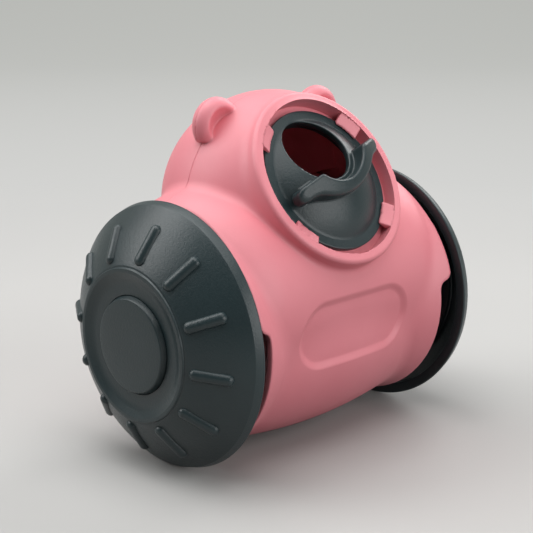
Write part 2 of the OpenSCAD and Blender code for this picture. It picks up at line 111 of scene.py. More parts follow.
def cut_edges(field, values, lo, h, axis):
    """Grid edges along one axis that the surface cuts.
    Returns their first grid points, whether these lie inside, and the points of the cuts."""
    first = tuple(slice(0, -1) if i == axis else slice(None) for i in range(3))
    second = tuple(slice(1, None) if i == axis else slice(None) for i in range(3))
    at = np.argwhere((values[first] < 0.0) != (values[second] < 0.0))
    f0 = values[tuple(at.T)]
    f1 = values[tuple((at + np.eye(3, dtype=int)[axis]).T)]
    inside = f0 < 0.0
    t0, t1 = np.zeros(len(at)), np.ones(len(at))
    for _ in range(ROOT_STEPS):
        t = t0 + (t1 - t0) * np.clip(f0 / (f0 - f1), INNER_LO, INNER_HI)
        points = lo + h * at
        points[:, axis] += t * h
        f = field(*points.T)
        low = (f < 0.0) == inside
        t0, f0 = np.where(low, t, t0), np.where(low, f, f0)
        t1, f1 = np.where(low, t1, t), np.where(low, f1, f)
    return at, inside, points


def cells_round(at, inside, axis, key):
    """Keys of the four cells round each cut edge, in the order of a face that looks outwards."""
    b = np.eye(3, dtype=int)[(axis + 1) % 3]
    c = np.eye(3, dtype=int)[(axis + 2) % 3]
    four = np.stack([at @ key, (at - b) @ key, (at - b - c) @ key, (at - c) @ key], 1)
    return np.where(inside[:, None], four, four[:, ::-1])


def meeting_points(points, normals, cell, count):
    """For each cell the point where the tangent planes of its cuts meet best."""
    def total(weights):
        return np.bincount(cell, weights=weights, minlength=count)

    cuts = total(np.ones(len(cell)))
    mean = np.stack([total(points[:, i]) for i in range(3)], 1) / cuts[:, None]
    planes = np.empty((count, 3, 3))
    for i in range(3):
        for j in range(i, 3):
            planes[:, i, j] = planes[:, j, i] = total(normals[:, i] * normals[:, j])
    reach = np.einsum("ij,ij->i", normals, points - mean[cell])
    aim = np.stack([total(normals[:, i] * reach) for i in range(3)], 1)
    planes += PULL * cuts[:, None, None] * np.eye(3)
    return mean + np.linalg.solve(planes, aim[:, :, None])[:, :, 0]


def contour(field, lo, hi, h):
    """Dual contouring of field = 0: one vertex in each cut cell, on the crease where there is one.
    The border of the box lies outside the form. Returns vertices and quads."""
    lo = np.asarray(lo, float)
    n = np.ceil((np.asarray(hi, float) - lo) / h).astype(int) + 1
    values = sample(field, [lo[i] + h * np.arange(n[i]) for i in range(3)])
    key = np.array([n[1] * n[2], n[2], 1])
    points, corners = [], []
    for axis in range(3):
        at, inside, cuts = cut_edges(field, values, lo, h, axis)
        points.append(cuts)
        corners.append(cells_round(at, inside, axis, key))
    points, corners = np.concatenate(points), np.concatenate(corners)
    ids, cell = np.unique(corners.ravel(), return_inverse=True)
    owner = np.repeat(np.arange(len(points)), 4)
    verts = meeting_points(points[owner], slope(field, points)[owner], cell, len(ids))
    place = np.stack(np.unravel_index(ids, n), 1)
    verts = np.clip(verts, lo + h * (place + INNER_LO), lo + h * (place + INNER_HI))
    return verts, np.searchsorted(ids, corners)


def slope(field, p):
    """Unit gradient of the field at each point."""
    g = np.stack([field(*(p + PROBE * d).T) - field(*(p - PROBE * d).T) for d in np.eye(3)], 1)
    return g / np.maximum(np.linalg.norm(g, axis=1, keepdims=True), TINY)


def corner_normals(field, verts, quads):
    """Normal of each face corner, read from the field a little inside its face."""
    corners = verts[quads]
    middle = corners.mean(1, keepdims=True)
    return slope(field, (corners + NORMAL_INSET * (middle - corners)).reshape(-1, 3))


def turned(rows, verts, normals, origin):
    """Local points and normals carried into the CAD frame by the rows of a local basis."""
    basis = np.array(rows)
    return verts @ basis + np.array(origin), normals @ basis


def piece(name, verts, faces, normals, material, body, node):
    """One mesh object of the toy, in metres, that stands for a CAD node."""
    mesh = bpy.data.meshes.new(name)
    mesh.from_pydata((verts * MM).tolist(), [], faces)
    mesh.update()
    mesh.shade_smooth()
    if len(normals) == len(verts):
        mesh.normals_split_custom_set_from_vertices(normals.tolist())
    else:
        mesh.normals_split_custom_set(normals.tolist())
    mesh.materials.append(material)
    obj = bpy.data.objects.new(name, mesh)
    bpy.context.scene.collection.objects.link(obj)
    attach(obj, body)
    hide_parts(node)


# Turned half sections

# Longest step of an arc, in radians, and the part of a side that one rounding may take
ARC_STEP = 0.26
ROUND_SHARE = 0.49
ON_AXIS = 1e-6


def unit_rows(d):
    return d / np.maximum(np.linalg.norm(d, axis=1, keepdims=True), TINY)


def rounded(points):
    """Closed half section from corners (radius, place, rounding): a corner with a rounding becomes an arc."""
    out = []
    for i, (r, x, k) in enumerate(points):
        p = np.array((r, x))
        if k == 0.0:
            out.append(p)
            continue
        before = np.array(points[i - 1][:2]) - p
        after = np.array(points[(i + 1) % len(points)][:2]) - p
        u, v = before / np.linalg.norm(before), after / np.linalg.norm(after)
        half = math.acos(np.clip(u @ v, -1.0, 1.0)) / 2.0
        room = ROUND_SHARE * min(np.linalg.norm(before), np.linalg.norm(after))
        run = min(k / math.tan(half), room)
        bisector = (u + v) / np.linalg.norm(u + v)
        centre = p + bisector * run / math.cos(half)
        radius = run * math.tan(half)
        e0, e1 = (p + u * run - centre) / radius, (p + v * run - centre) / radius
        turn = math.acos(np.clip(e0 @ e1, -1.0, 1.0))
        for t in np.linspace(0.0, 1.0, max(3, int(turn / ARC_STEP) + 2)):
            e = (math.sin((1.0 - t) * turn) * e0 + math.sin(t * turn) * e1) / math.sin(turn)
            out.append(centre + radius * e)
    return np.array(out)


def lathe(section, count):
    """A closed half section (radius, place) turned about X, or one that starts and ends on the axis.
    Returns vertices, faces and vertex normals."""
    poles = section[0][0] < ON_AXIS
    d = unit_rows(np.roll(section, -1, 0) - section)
    d = unit_rows(d + np.roll(d, 1, 0))
    ends = section[[0, -1], 1]
    if poles:
        section, d = section[1:-1], d[1:-1]
    n = len(section)
    angle = 2.0 * math.pi * np.arange(count) / count
    cos, sin = np.cos(angle)[None, :], np.sin(angle)[None, :]
    r, x = section[:, :1], section[:, 1:]
    verts = np.stack([x + 0.0 * cos, r * cos, r * sin], 2).reshape(-1, 3)
    nr, nx = d[:, 1:], -d[:, :1]
    normals = np.stack([nx + 0.0 * cos, nr * cos, nr * sin], 2).reshape(-1, 3)
    i, j = np.meshgrid(np.arange(n - 1 if poles else n), np.arange(count), indexing="ij")
    i2, j2 = (i + 1) % n, (j + 1) % count
    quads = np.stack([i * count + j, i * count + j2, i2 * count + j2, i2 * count + j], 2)
    faces = quads.reshape(-1, 4).tolist()
    if poles:
        last = (n - 1) * count
        way = np.sign(ends[0] - ends[1])
        verts = np.concatenate([verts, [(ends[0], 0.0, 0.0), (ends[1], 0.0, 0.0)]])
        normals = np.concatenate([normals, [(way, 0.0, 0.0), (-way, 0.0, 0.0)]])
        for k in range(count):
            k2 = (k + 1) % count
            faces.append([n * count, k2, k])
            faces.append([n * count + 1, last + k, last + k2])
    return verts, faces, normals


# Outer forms of the body

HEAD_Y, HEAD_Z, HEAD_R = 2.75, 84.35, 39.6
BELLY_Z, BELLY_ARC_R, BELLY_ARC_BEYOND = 40.9, 206.0, 167.7
CHEST_Y, CHEST_Z, CHEST_R = -0.6, 56.0, 38.4
CHEST_HALF, CHEST_ROUND = 34.0, 27.48
CORE_R = 35.7
FLARE_X, FLARE_SLOPE, FLARE_COS = 28.4, 0.3896, 0.932
SKIRT_X, SKIRT_R, SKIRT_SLOPE, SKIRT_COS = 43.8, 41.7, 0.25, 0.970
SKIRT_BLEND, FLARE_BLEND = 1.2, 1.8
# Upper part of the skirts, which reaches further out
SKIRT_TOP_X, SKIRT_STEP_Z = 48.6, 54.5
STEP_ROUND, STEP_FILLET, SKIRT_EDGE = 3.2, 4.6, 0.9
# The collar's lip: a rounding about a core of this radius
LIP_CORE_R, LIP_ROUND, COLLAR_FOOT_W = 30.7, 1.5, -32.0
EAR_X, EAR_Z, EAR_FLAT_R, EAR_EDGE_R = 24.81, 113.92, 5.5, 4.0
EAR_DISH_R, EAR_DISH_FRONT, EAR_FOOT_Z, EAR_ROUND = 8.33, 9.33, 108.72, 0.8
PANEL_HALF, PANEL_Z, PANEL_R = 15.5, 46.5, 12.5
PANEL_DEPTH, PANEL_BORDER, PANEL_BEFORE_Y = 1.2, 3.2, -18.0
# Fillets between the outer forms
BELLY_BLEND = 2.0
SPOOL_BLEND = 1.6
EAR_BLEND = 0.7
NECK_BLEND = 3.0
COLLAR_BLEND = 1.8


def in_mouth(x, y, z):
    """Distance from the mouth's axis, angle about it and height over the lip."""
    s = (y - LIP[1]) * MOUTH_V[1] + (z - LIP[2]) * MOUTH_V[2]
    w = (y - LIP[1]) * MOUTH_N[1] + (z - LIP[2]) * MOUTH_N[2]
    return np.hypot(x, s), np.arctan2(s, x), w


def head(x, y, z):
    return np.sqrt(x * x + (y - HEAD_Y) ** 2 + (z - HEAD_Z) ** 2) - HEAD_R


def belly(x, y, z):
    """Barrel along X: the centre of its long arc lies beyond its axis."""
    return np.hypot(np.hypot(y, z - BELLY_Z) + BELLY_ARC_BEYOND, x) - BELLY_ARC_R


def chest(x, y, z):
    """Cylinder along X with rounded ends, which makes the shoulders."""
    rho = np.hypot(y - CHEST_Y, z - CHEST_Z)
    out = np.abs(x) - CHEST_HALF
    end = np.hypot(rho - (CHEST_R - CHEST_ROUND), np.maximum(out, 0.0)) - CHEST_ROUND
    return np.where(out < 0.0, rho - CHEST_R, end)


def spool(x, y, z):
    """Core, flare and flatter skirt."""
    rho = np.hypot(y, z - AXLE_Z)
    ax = np.abs(x)
    flare = sloped(rho, CORE_R, ax - FLARE_X, FLARE_SLOPE, FLARE_COS)
    skirt = sloped(rho, SKIRT_R, ax - SKIRT_X, SKIRT_SLOPE, SKIRT_COS)
    return smin(rho - CORE_R, smax(flare, skirt, SKIRT_BLEND), FLARE_BLEND)


def skirt_ends(ax, z):
    """The skirts end further out at the top and step back below, to let the wheels show."""
    top = smax(SKIRT_STEP_Z - z, ax - SKIRT_TOP_X, STEP_ROUND)
    return smin(ax - SKIRT_X, top, STEP_FILLET)


def collar(rho, w):
    """Round block behind the mouth with a rounded lip."""
    a, b = rho - LIP_CORE_R, w + LIP_ROUND
    beyond = np.hypot(np.maximum(a, 0.0), np.maximum(b, 0.0))
    lip = beyond + np.minimum(np.maximum(a, b), 0.0) - LIP_ROUND
    return np.maximum(lip, COLLAR_FOOT_W - w)


def ear(x, y, z):
    """Disc on the seam with a round edge, dished in front."""
    rho = np.hypot(np.abs(x) - EAR_X, z - EAR_Z)
    t = y - SEAM_Y
    disc = np.hypot(np.maximum(rho - EAR_FLAT_R, 0.0), t) - EAR_EDGE_R
    dish = np.sqrt(rho * rho + (t + EAR_DISH_FRONT) ** 2) - EAR_DISH_R
    return smax(smax(disc, -dish, EAR_ROUND), EAR_FOOT_Z - z, EAR_ROUND)


def panel_depth(x, y, z):
    """Depth of the sunk panel on the chest: a pill with a soft border."""
    pill = np.hypot(np.maximum(np.abs(x) - PANEL_HALF, 0.0), z - PANEL_Z) - PANEL_R
    return np.where(y < PANEL_BEFORE_Y, PANEL_DEPTH * ramp(-pill / PANEL_BORDER), 0.0)


# Shells: the hollow body, parted on the seam

WALL = 2.6
END_IN_X, END_OUT_X = 38.4, 41.0
# Inside of the mouth: the ledge's underside, and the lid's seat and the throat with their floors
LEDGE_FOOT_W = -7.2
SEAT_R, SEAT_W = 28.7, -5.0
THROAT_R, THROAT_W = 24.5, -30.9
# Tabs that hold the lid, this far to both sides of the mouth's highest and lowest point
TAB_ANGLE = math.radians(49.0)
TAB_R, TAB_HALF, TAB_FOOT_W = (24.6, 29.2), 4.7, -2.4
TAB_TOP_W, TAB_SLOPE, TAB_COS = -0.1, 0.3696, 0.938
TAB_ROUND, TAB_SIDE_ROUND = 0.4, 0.5
# Places (x, z) of the screws that join the shells, the same on both sides
SHELL_SCREWS = ((26.0, 10.34), (35.9, 84.0))
BOSS_R, BOSS_FRONT_Y = 3.5, -5.0
# The bosses are thicker round the sunk heads of these screws
BOSS_EXTRA, BOSS_STEP_Y, BOSS_STEP = 0.8, 10.0, 1.5
SCREW_HOLE_R, SCREW_HOLE_Y = 1.55, (-4.0, 13.0)
HEAD_HOLE_R, HEAD_HOLE_Y = 3.2, 12.0
AXLE_SCREW_OFF = 8.5
AXLE_BOSS_R, AXLE_BOSS_X = 3.0, (31.4, 39.4)
AXLE_HOLE_R, AXLE_HOLE_X = 1.45, (32.4, 42.0)
SEAM_GAP, SEAM_ROUND = 0.04, 0.25


def with_shell_bosses(shell, ax, y, z, trunk):
    for px, pz in SHELL_SCREWS:
        rod = np.hypot(ax - px, z - pz)
        side = rod - BOSS_R - BOSS_EXTRA * ramp((y - BOSS_STEP_Y) / BOSS_STEP)
        boss = np.maximum(np.maximum(side, BOSS_FRONT_Y - y), trunk + WALL / 2.0)
        shell = np.minimum(shell, boss)
    return shell


def with_shell_screw_holes(shell, ax, y, z):
    for px, pz in SHELL_SCREWS:
        rod = np.hypot(ax - px, z - pz)
        shell = cut(shell, np.maximum(rod - SCREW_HOLE_R, slab(y, *SCREW_HOLE_Y)))
        shell = cut(shell, np.maximum(rod - HEAD_HOLE_R, HEAD_HOLE_Y - y))
    return shell


def with_axle_bosses(shell, ax, y, z):
    """Bosses inside the end walls, with the holes for the screws of the axle plates."""
    for py in (-AXLE_SCREW_OFF, AXLE_SCREW_OFF):
        for pz in (AXLE_Z - AXLE_SCREW_OFF, AXLE_Z + AXLE_SCREW_OFF):
            rod = np.hypot(y - py, z - pz)
            shell = np.minimum(shell, np.maximum(rod - AXLE_BOSS_R, slab(ax, *AXLE_BOSS_X)))
            shell = cut(shell, np.maximum(rod - AXLE_HOLE_R, slab(ax, *AXLE_HOLE_X)))
    return shell


def tabs(rho, angle, w):
    """Four tabs over the lid's flange, with sloped tops."""
    fold = np.abs(np.abs(angle) - math.pi / 2.0) - TAB_ANGLE
    top = sloped(w, TAB_TOP_W, rho - TAB_R[1], TAB_SLOPE, TAB_COS)
    tab = smax(top, slab(rho, *TAB_R), TAB_ROUND)
    tab = smax(tab, np.abs(fold) * rho - TAB_HALF, TAB_SIDE_ROUND)
    return np.maximum(tab, TAB_FOOT_W - w)


def whole_shell(x, y, z):
    """The hollow body with its bosses, bores and tabs, before it is parted."""
    ax = np.abs(x)
    rho, angle, w = in_mouth(x, y, z)
    h, b, c, s = head(x, y, z), belly(x, y, z), chest(x, y, z), spool(x, y, z)
    trunk = np.minimum(b, c)
    body = smin(smin(b, c, BELLY_BLEND), s, SPOOL_BLEND)
    outer = smin(smin(h, ear(x, y, z), EAR_BLEND), body, NECK_BLEND)
    outer = smin(outer, collar(rho, w), COLLAR_BLEND) + panel_depth(x, y, z)
    room = np.minimum(trunk + WALL, np.hypot(y, z - AXLE_Z) - (CORE_R - WALL))
    shell = cut(outer, np.minimum(h + WALL, np.maximum(room, ax - END_IN_X)))
    shell = np.minimum(shell, np.maximum(rho - LIP_CORE_R, slab(w, LEDGE_FOOT_W, -LIP_ROUND)))
    shell = with_shell_bosses(shell, ax, y, z, trunk)
    shell = with_axle_bosses(shell, ax, y, z)
    shell = cut(shell, np.maximum(rho - SEAT_R, SEAT_W - w))
    shell = cut(shell, np.maximum(rho - THROAT_R, THROAT_W - w))
    shell = cut(shell, np.maximum(END_OUT_X - ax, np.minimum(s, c) + WALL))
    shell = smax(shell, skirt_ends(ax, z), SKIRT_EDGE)
    shell = with_shell_screw_holes(shell, ax, y, z)
    return np.minimum(shell, tabs(rho, angle, w))


def front_shell(x, y, z):
    return smax(whole_shell(x, y, z), y - (SEAM_Y - SEAM_GAP), SEAM_ROUND)


def rear_shell(x, y, z):
    return smax(whole_shell(x, y, z), (SEAM_Y + SEAM_GAP) - y, SEAM_ROUND)


# Wheels

RIM_X, RIM_R, RIM_IN_R = 51.2, 46.0, 42.0
FLANK_FOOT, FLANK_TOP = np.array((44.9, 54.6)), np.array((26.25, 67.9))
FLANK_R, FLANK_WALL = 70.0, 2.4
FLANK_SPAN, FLANK_STEPS = (44.5, 26.6), 40
# Faces of the hub from outside to inside: ring, dish, the cap's seat, underside, well, its boss, tube
RING_X = 68.4
DISH_X = 66.9
HUB_X = 66.1
UNDER_X = 63.7
WELL_X = 61.6
WELL_BOSS_X = 59.2
TUBE_X = 44.3
RING_FOOT = (26.2, 67.72, 0.2)
RING_OUT_R, RING_IN_R, DISH_R = 25.95, 24.65, 21.4
CAP_SEAT_R = 16.8
WELL_BOSS_R = 11.6
WELL_R = 9.2
TUBE_R = 7.2
BORE_R = 4.05
STIFFENER_R, STIFFENER_D = (31.0, 32.2), 3.0
# The inner side of the flank in two arcs, from the hub to the stiffening ring and from there to the rim
HUB_GAP, BACK_IN_R, BACK_IN_STEPS = 0.5, 30.8, 12
BACK_OUT_R, BACK_OUT_STEPS = 32.5, 20
# Roundings of corners
EDGE = 0.2
SOFT_EDGE = 0.3
SEAT_EDGE = 0.15
RING_EDGE = 0.28
RIM_EDGE = 0.5
RIM_IN_EDGE = 0.4
DISH_ROUND = 6.0
RIB_COUNT, RIB_START = 12, 23.5
RIB_SPAN, RIB_SINK, RIB_R, RIB_WIDE = (29.2, 38.4), 0.4, 1.85, 1.14
WHEEL_SIDES, RIB_SIDES, RIB_END_STEPS = 256, 28, 9


def flank_centre():
    """Centre (radius, place) of the arc of the flank's crown."""
    d = FLANK_TOP - FLANK_FOOT
    n = np.hypot(*d)
    s = math.sqrt(FLANK_R ** 2 - n * n / 4.0)
    return (FLANK_FOOT + FLANK_TOP) / 2.0 + s * np.array((-d[1], d[0])) / n


FLANK_C = flank_centre()


def flank_x(r, crown):
    """Place of the flank's outer or inner side at a radius from the axle."""
    return FLANK_C[1] + math.sqrt(crown ** 2 - (r - FLANK_C[0]) ** 2)


def flank_arc(r0, r1, crown, n):
    """Corners without rounding on the flank's outer or inner side."""
    return [(r, flank_x(r, crown), 0.0) for r in np.linspace(r0, r1, n)]


def wheel_section():
    """Half section from the rim over the flank and the hub, and back through the hollow inside."""
    inner = FLANK_R - FLANK_WALL
    under_r = FLANK_C[0] + math.sqrt(inner ** 2 - (UNDER_X - FLANK_C[1]) ** 2)
    stiff_in, stiff_out = flank_arc(*STIFFENER_R, inner, 2)
    stiff_x = stiff_in[1] - STIFFENER_D
    section = [(RIM_R, RIM_X, RIM_EDGE), (*FLANK_FOOT, SOFT_EDGE)]
    section += flank_arc(*FLANK_SPAN, FLANK_R, FLANK_STEPS)
    section += [RING_FOOT, (RING_OUT_R, RING_X, RING_EDGE), (RING_IN_R, RING_X, SOFT_EDGE)]
    section += [(DISH_R, DISH_X, DISH_ROUND), (CAP_SEAT_R, DISH_X, SEAT_EDGE), (CAP_SEAT_R, HUB_X, SEAT_EDGE)]
    section += [(WELL_R, HUB_X, EDGE), (WELL_R, WELL_X, EDGE), (BORE_R, WELL_X, EDGE)]
    section += [(BORE_R, TUBE_X, SOFT_EDGE), (TUBE_R, TUBE_X, SOFT_EDGE), (TUBE_R, WELL_BOSS_X, SOFT_EDGE)]
    section += [(WELL_BOSS_R, WELL_BOSS_X, SOFT_EDGE), (WELL_BOSS_R, UNDER_X, EDGE), (under_r, UNDER_X, EDGE)]
    section += flank_arc(under_r + HUB_GAP, BACK_IN_R, inner, BACK_IN_STEPS)
    section += [stiff_in, (STIFFENER_R[0], stiff_x, EDGE), (STIFFENER_R[1], stiff_x, EDGE), stiff_out]
    section += flank_arc(BACK_OUT_R, RIM_IN_R, inner, BACK_OUT_STEPS)
    section += [(RIM_IN_R, RIM_X, RIM_IN_EDGE)]
    return section


def rib(length):
    """Capsule along X from the origin, a little wider than high. Returns vertices, faces and normals."""
    turns = np.linspace(0.0, math.pi / 2.0, RIB_END_STEPS)
    end = [(RIB_R * math.sin(t), RIB_R * math.cos(t)) for t in turns]
    section = [(r, -x) for r, x in end] + [(r, length + x) for r, x in end[::-1]]
    verts, faces, normals = lathe(np.array(section), RIB_SIDES)
    wide = np.array((1.0, RIB_WIDE, 1.0))
    normals = normals / wide
    return verts * wide, faces, normals / np.linalg.norm(normals, axis=1, keepdims=True)


def ribs():
    """The ribs on the flank, each as vertices, faces and normals."""
    start, end = [np.array((r, flank_x(r, FLANK_R) - RIB_SINK)) for r in RIB_SPAN]
    length = np.linalg.norm(end - start)
    verts, faces, normals = rib(length)
    dr, dx = (end - start) / length
    out = []
    for i in range(RIB_COUNT):
        t = math.radians(RIB_START + 360.0 / RIB_COUNT * i)
        outwards = np.array((0.0, -math.cos(t), math.sin(t)))
        side = np.array((0.0, math.sin(t), math.cos(t)))
        axis = dr * outwards + dx * ALONG_X
        rows = [axis, side, np.cross(axis, side)]
        v, n = turned(rows, verts, normals, start[0] * outwards + start[1] * ALONG_X)
        out.append((v, faces, n))
    return out


def wheel():
    """Dish wheel with its ribs, as separate closed shells that run into each other."""
    parts = [lathe(rounded(wheel_section()), WHEEL_SIDES)] + ribs()
    start = np.cumsum([0] + [len(p[0]) for p in parts])
    verts = np.concatenate([p[0] for p in parts]) + TO_AXLE
    faces = [[c + int(k) for c in f] for p, k in zip(parts, start) for f in p[1]]
    return verts, faces, np.concatenate([p[2] for p in parts])


# Hub caps

CAP_R, CAP_X, CAP_EDGE_X, CAP_EDGE = 16.6, 69.0, 67.0, 0.1
CAP_SHOULDER = (15.8, 68.75, 0.6)
CAP_FACE_R = (0.0, 3.0, 6.0, 8.0, 10.0, 11.5, 12.6, 13.4)
# The face falls by this much at this radius
CAP_FALL, CAP_FALL_R = 0.2, 14.0
PLUG_R, PLUG_IN_R, PLUG_X, PLUG_TOP_X = 9.15, 7.5, 61.9, 66.9
CAP_SIDES = 192


def hub_cap():
    """Cap with a hollow plug, a faintly crowned face and a leaning, rounded edge."""
    section = [(0.0, PLUG_TOP_X, 0.0), (PLUG_IN_R, PLUG_TOP_X, EDGE), (PLUG_IN_R, PLUG_X, EDGE)]
    section += [(PLUG_R, PLUG_X, EDGE), (PLUG_R, HUB_X, EDGE)]
    section += [(CAP_R, HUB_X, EDGE), (CAP_R, CAP_EDGE_X, CAP_EDGE), CAP_SHOULDER]
    section += [(r, CAP_X - CAP_FALL * (r / CAP_FALL_R) ** 3, 0.0) for r in CAP_FACE_R[::-1]]
    verts, faces, normals = lathe(rounded(section), CAP_SIDES)
    return verts + TO_AXLE, faces, normals


# Lid, in its own frame: b towards the feeding hole, w outwards over the lip

LID_TURN = math.radians(17.6)
LID_FOOT_W = -4.7
FLANGE_R, FLANGE_TOP_W, FLANGE_ROUND = (20.15, 26.0), -2.7, 0.5
SPIGOT_R, SPIGOT_W, SPIGOT_ROUND = (22.22, 24.42), (-8.7, -3.7), 0.4
DOME_W, DOME_R, DOME_EDGE_R, DOME_FILLET = -32.25, (34.85, 37.05), 22.35, 0.5
HOLE_B, HOLE_R, HOLE_ROUND = 10.0, 12.26, 0.7
# Grip bar: a bow with straight ends, hollow towards the feeding hole, under a round roof
BOW_B, BOW_R, BOW_FILLET = 18.54, 27.0, 2.0
BAR_LOW_B, BAR_HIGH_B, BAR_HIGH_ROUND = -2.6, 2.5, 1.5
BAR_END_R, BAR_END_ROUND = 24.1, 3.0
HOLLOW_B, HOLLOW_R, HOLLOW_ROUND = 11.24, 15.4, 0.8
ROOF_B, ROOF_W, ROOF_R, ROOF_ROUND = 16.6, -47.41, 60.0, 1.4
BAR_FOOT_W, BAR_FOOT_ROUND, BAR_ROOT_R, BAR_FILLET = 0.6, 0.4, 35.95, 0.8


def grip_bar(a, b, w, rho, ball):
    outline = smin(np.hypot(a, b - BOW_B) - BOW_R, BAR_LOW_B - b, BOW_FILLET)
    outline = smax(outline, b - BAR_HIGH_B, BAR_HIGH_ROUND)
    outline = smax(outline, rho - BAR_END_R, BAR_END_ROUND)
    outline = smax(outline, HOLLOW_R - np.hypot(a, b - HOLLOW_B), HOLLOW_ROUND)
    roof = np.sqrt(a * a + (b - ROOF_B) ** 2 + (w - ROOF_W) ** 2) - ROOF_R
    bar = smax(smax(outline, roof, ROOF_ROUND), BAR_FOOT_W - w, BAR_FOOT_ROUND)
    return np.maximum(bar, BAR_ROOT_R - ball)


def lid(a, b, w):
    """Domed cup with a flange, a spigot, the grip bar and the feeding hole."""
    rho = np.hypot(a, b)
    ball = np.sqrt(rho * rho + (w - DOME_W) ** 2)
    flange = smax(slab(rho, *FLANGE_R), slab(w, LID_FOOT_W, FLANGE_TOP_W), FLANGE_ROUND)
    spigot = smax(slab(rho, *SPIGOT_R), slab(w, *SPIGOT_W), SPIGOT_ROUND)
    dome = np.maximum(np.maximum(slab(ball, *DOME_R), rho - DOME_EDGE_R), LID_FOOT_W - w)
    solid = smin(np.minimum(flange, spigot), dome, DOME_FILLET)
    solid = smin(solid, grip_bar(a, b, w, rho, ball), BAR_FILLET)
    hole = np.maximum(np.hypot(a, b - HOLE_B) - HOLE_R, LID_FOOT_W - w)
    return smax(solid, -hole, HOLE_ROUND)


def lid_rows():
    """The lid's own axes in the CAD frame: across, towards the feeding hole and outwards."""
    cos, sin = math.cos(LID_TURN), math.sin(LID_TURN)
    up = np.array(MOUTH_V)
    return [cos * ALONG_X + sin * up, -sin * ALONG_X + cos * up, np.array(MOUTH_N)]


# Materials

# Most of a noise texture's values lie in this span
NOISE_SPAN = (0.3, 0.7)
DRIFT_SCALE, DRIFT_SPAN, SPECK_SHARE = 38.0, (0.1, 0.55), 0.35
GRAIN_HEIGHT = 0.00015
MOTTLE_SCALE = 2200.0
PLASTIC_ROUGH_SWING, METAL_ROUGH_SWING = 0.06, 0.08


def node_tree(name):
    mat = bpy.data.materials.new(name)
    mat.use_nodes = True
    tree = mat.node_tree
    tree.nodes.clear()
    out = tree.nodes.new("ShaderNodeOutputMaterial")
    bsdf = tree.nodes.new("ShaderNodeBsdfPrincipled")
    tree.links.new(bsdf.outputs[0], out.inputs[0])
    return mat, tree, bsdf


def srgb(r, g, b):
    """Linear colour from a screen colour of 0 to 255."""
    def one(c):
        c /= 255.0
        return c / 12.92 if c <= 0.04045 else ((c + 0.055) / 1.055) ** 2.4
    return (one(r), one(g), one(b), 1.0)


def feed(tree, socket, value):
    """Links another node's output to a socket, or sets the socket to a fixed value."""
    if isinstance(value, bpy.types.NodeSocket):
        tree.links.new(value, socket)
    else:
        socket.default_value = value


def object_coords(tree):
    return tree.nodes.new("ShaderNodeTexCoord").outputs["Object"]


def noise(tree, coords, scale, detail, rough=0.5):
    n = tree.nodes.new("ShaderNodeTexNoise")
    feed(tree, n.inputs["Scale"], scale)
    feed(tree, n.inputs["Detail"], detail)
    feed(tree, n.inputs["Roughness"], rough)
    feed(tree, n.inputs["Vector"], coords)
    return n.outputs["Fac"]


def remap(tree, value, span, to_lo, to_hi):
    n = tree.nodes.new("ShaderNodeMapRange")
    feed(tree, n.inputs["From Min"], span[0])
    feed(tree, n.inputs["From Max"], span[1])
    feed(tree, n.inputs["To Min"], to_lo)
    feed(tree, n.inputs["To Max"], to_hi)
    feed(tree, n.inputs["Value"], value)
    return n.outputs[0]


def mixed(tree, factor, one, two):
    n = tree.nodes.new("ShaderNodeMix")
    n.data_type = "RGBA"
    feed(tree, n.inputs["A"], one)
    feed(tree, n.inputs["B"], two)
    feed(tree, n.inputs["Factor"], factor)
    return n.outputs["Result"]


def maths(tree, operation, *values):
    n = tree.nodes.new("ShaderNodeMath")
    n.operation = operation
    for socket, value in zip(n.inputs, values):
        feed(tree, socket, value)
    return n.outputs[0]


def plastic(name, dark, light, rough, grain, depth, specular):
    """Moulded plastic: slow drift of tone, satin roughness and a fine spark-eroded grain."""
    mat, tree, bsdf = node_tree(name)
    coords = object_coords(tree)
    drift = noise(tree, coords, DRIFT_SCALE, detail=3.0)
    speck = noise(tree, coords, grain, detail=2.0, rough=0.6)
    tone = maths(tree, "MULTIPLY_ADD", speck, SPECK_SHARE, remap(tree, drift, NOISE_SPAN, *DRIFT_SPAN))
    swing = remap(tree, speck, NOISE_SPAN, rough - PLASTIC_ROUGH_SWING, rough + PLASTIC_ROUGH_SWING)
    feed(tree, bsdf.inputs["Base Color"], mixed(tree, tone, dark, light))
    feed(tree, bsdf.inputs["Roughness"], swing)
    feed(tree, bsdf.inputs["Specular IOR Level"], specular)
    bump = tree.nodes.new("ShaderNodeBump")
    feed(tree, bump.inputs["Strength"], depth)
    feed(tree, bump.inputs["Distance"], GRAIN_HEIGHT)
    feed(tree, bump.inputs["Height"], speck)
    feed(tree, bsdf.inputs["Normal"], bump.outputs[0])
    return mat


def metal(name, dark, light, rough):
    """Plated steel or cast iron, with a faint mottle."""
    mat, tree, bsdf = node_tree(name)
    mottle = noise(tree, object_coords(tree), MOTTLE_SCALE, detail=3.0)
    swing = remap(tree, mottle, NOISE_SPAN, rough - METAL_ROUGH_SWING, rough + METAL_ROUGH_SWING)
    feed(tree, bsdf.inputs["Base Color"], mixed(tree, mottle, dark, light))
    feed(tree, bsdf.inputs["Roughness"], swing)
    feed(tree, bsdf.inputs["Metallic"], 1.0)
    return mat


PINK = plastic("pink_plastic", srgb(222, 126, 136), srgb(232, 140, 150),
               rough=0.5, grain=2200.0, depth=0.15, specular=0.65)
GREY = plastic("grey_plastic", srgb(24, 39, 42), srgb(36, 53, 56),
               rough=0.36, grain=1500.0, depth=0.5, specular=0.5)
STEEL = metal("zinc_steel", srgb(160, 162, 165), srgb(196, 198, 200), rough=0.38)
IRON = metal("cast_iron", srgb(70, 70, 72), srgb(100, 100, 102), rough=0.6)


def node_material(name):
    """Material of a CAD node."""
    if "screw" in name or "washer" in name:
        return STEEL
    if name == "counterweight":
        return IRON
    if "shell" in name or name == "chamber_floor":
        return PINK
    return GREY


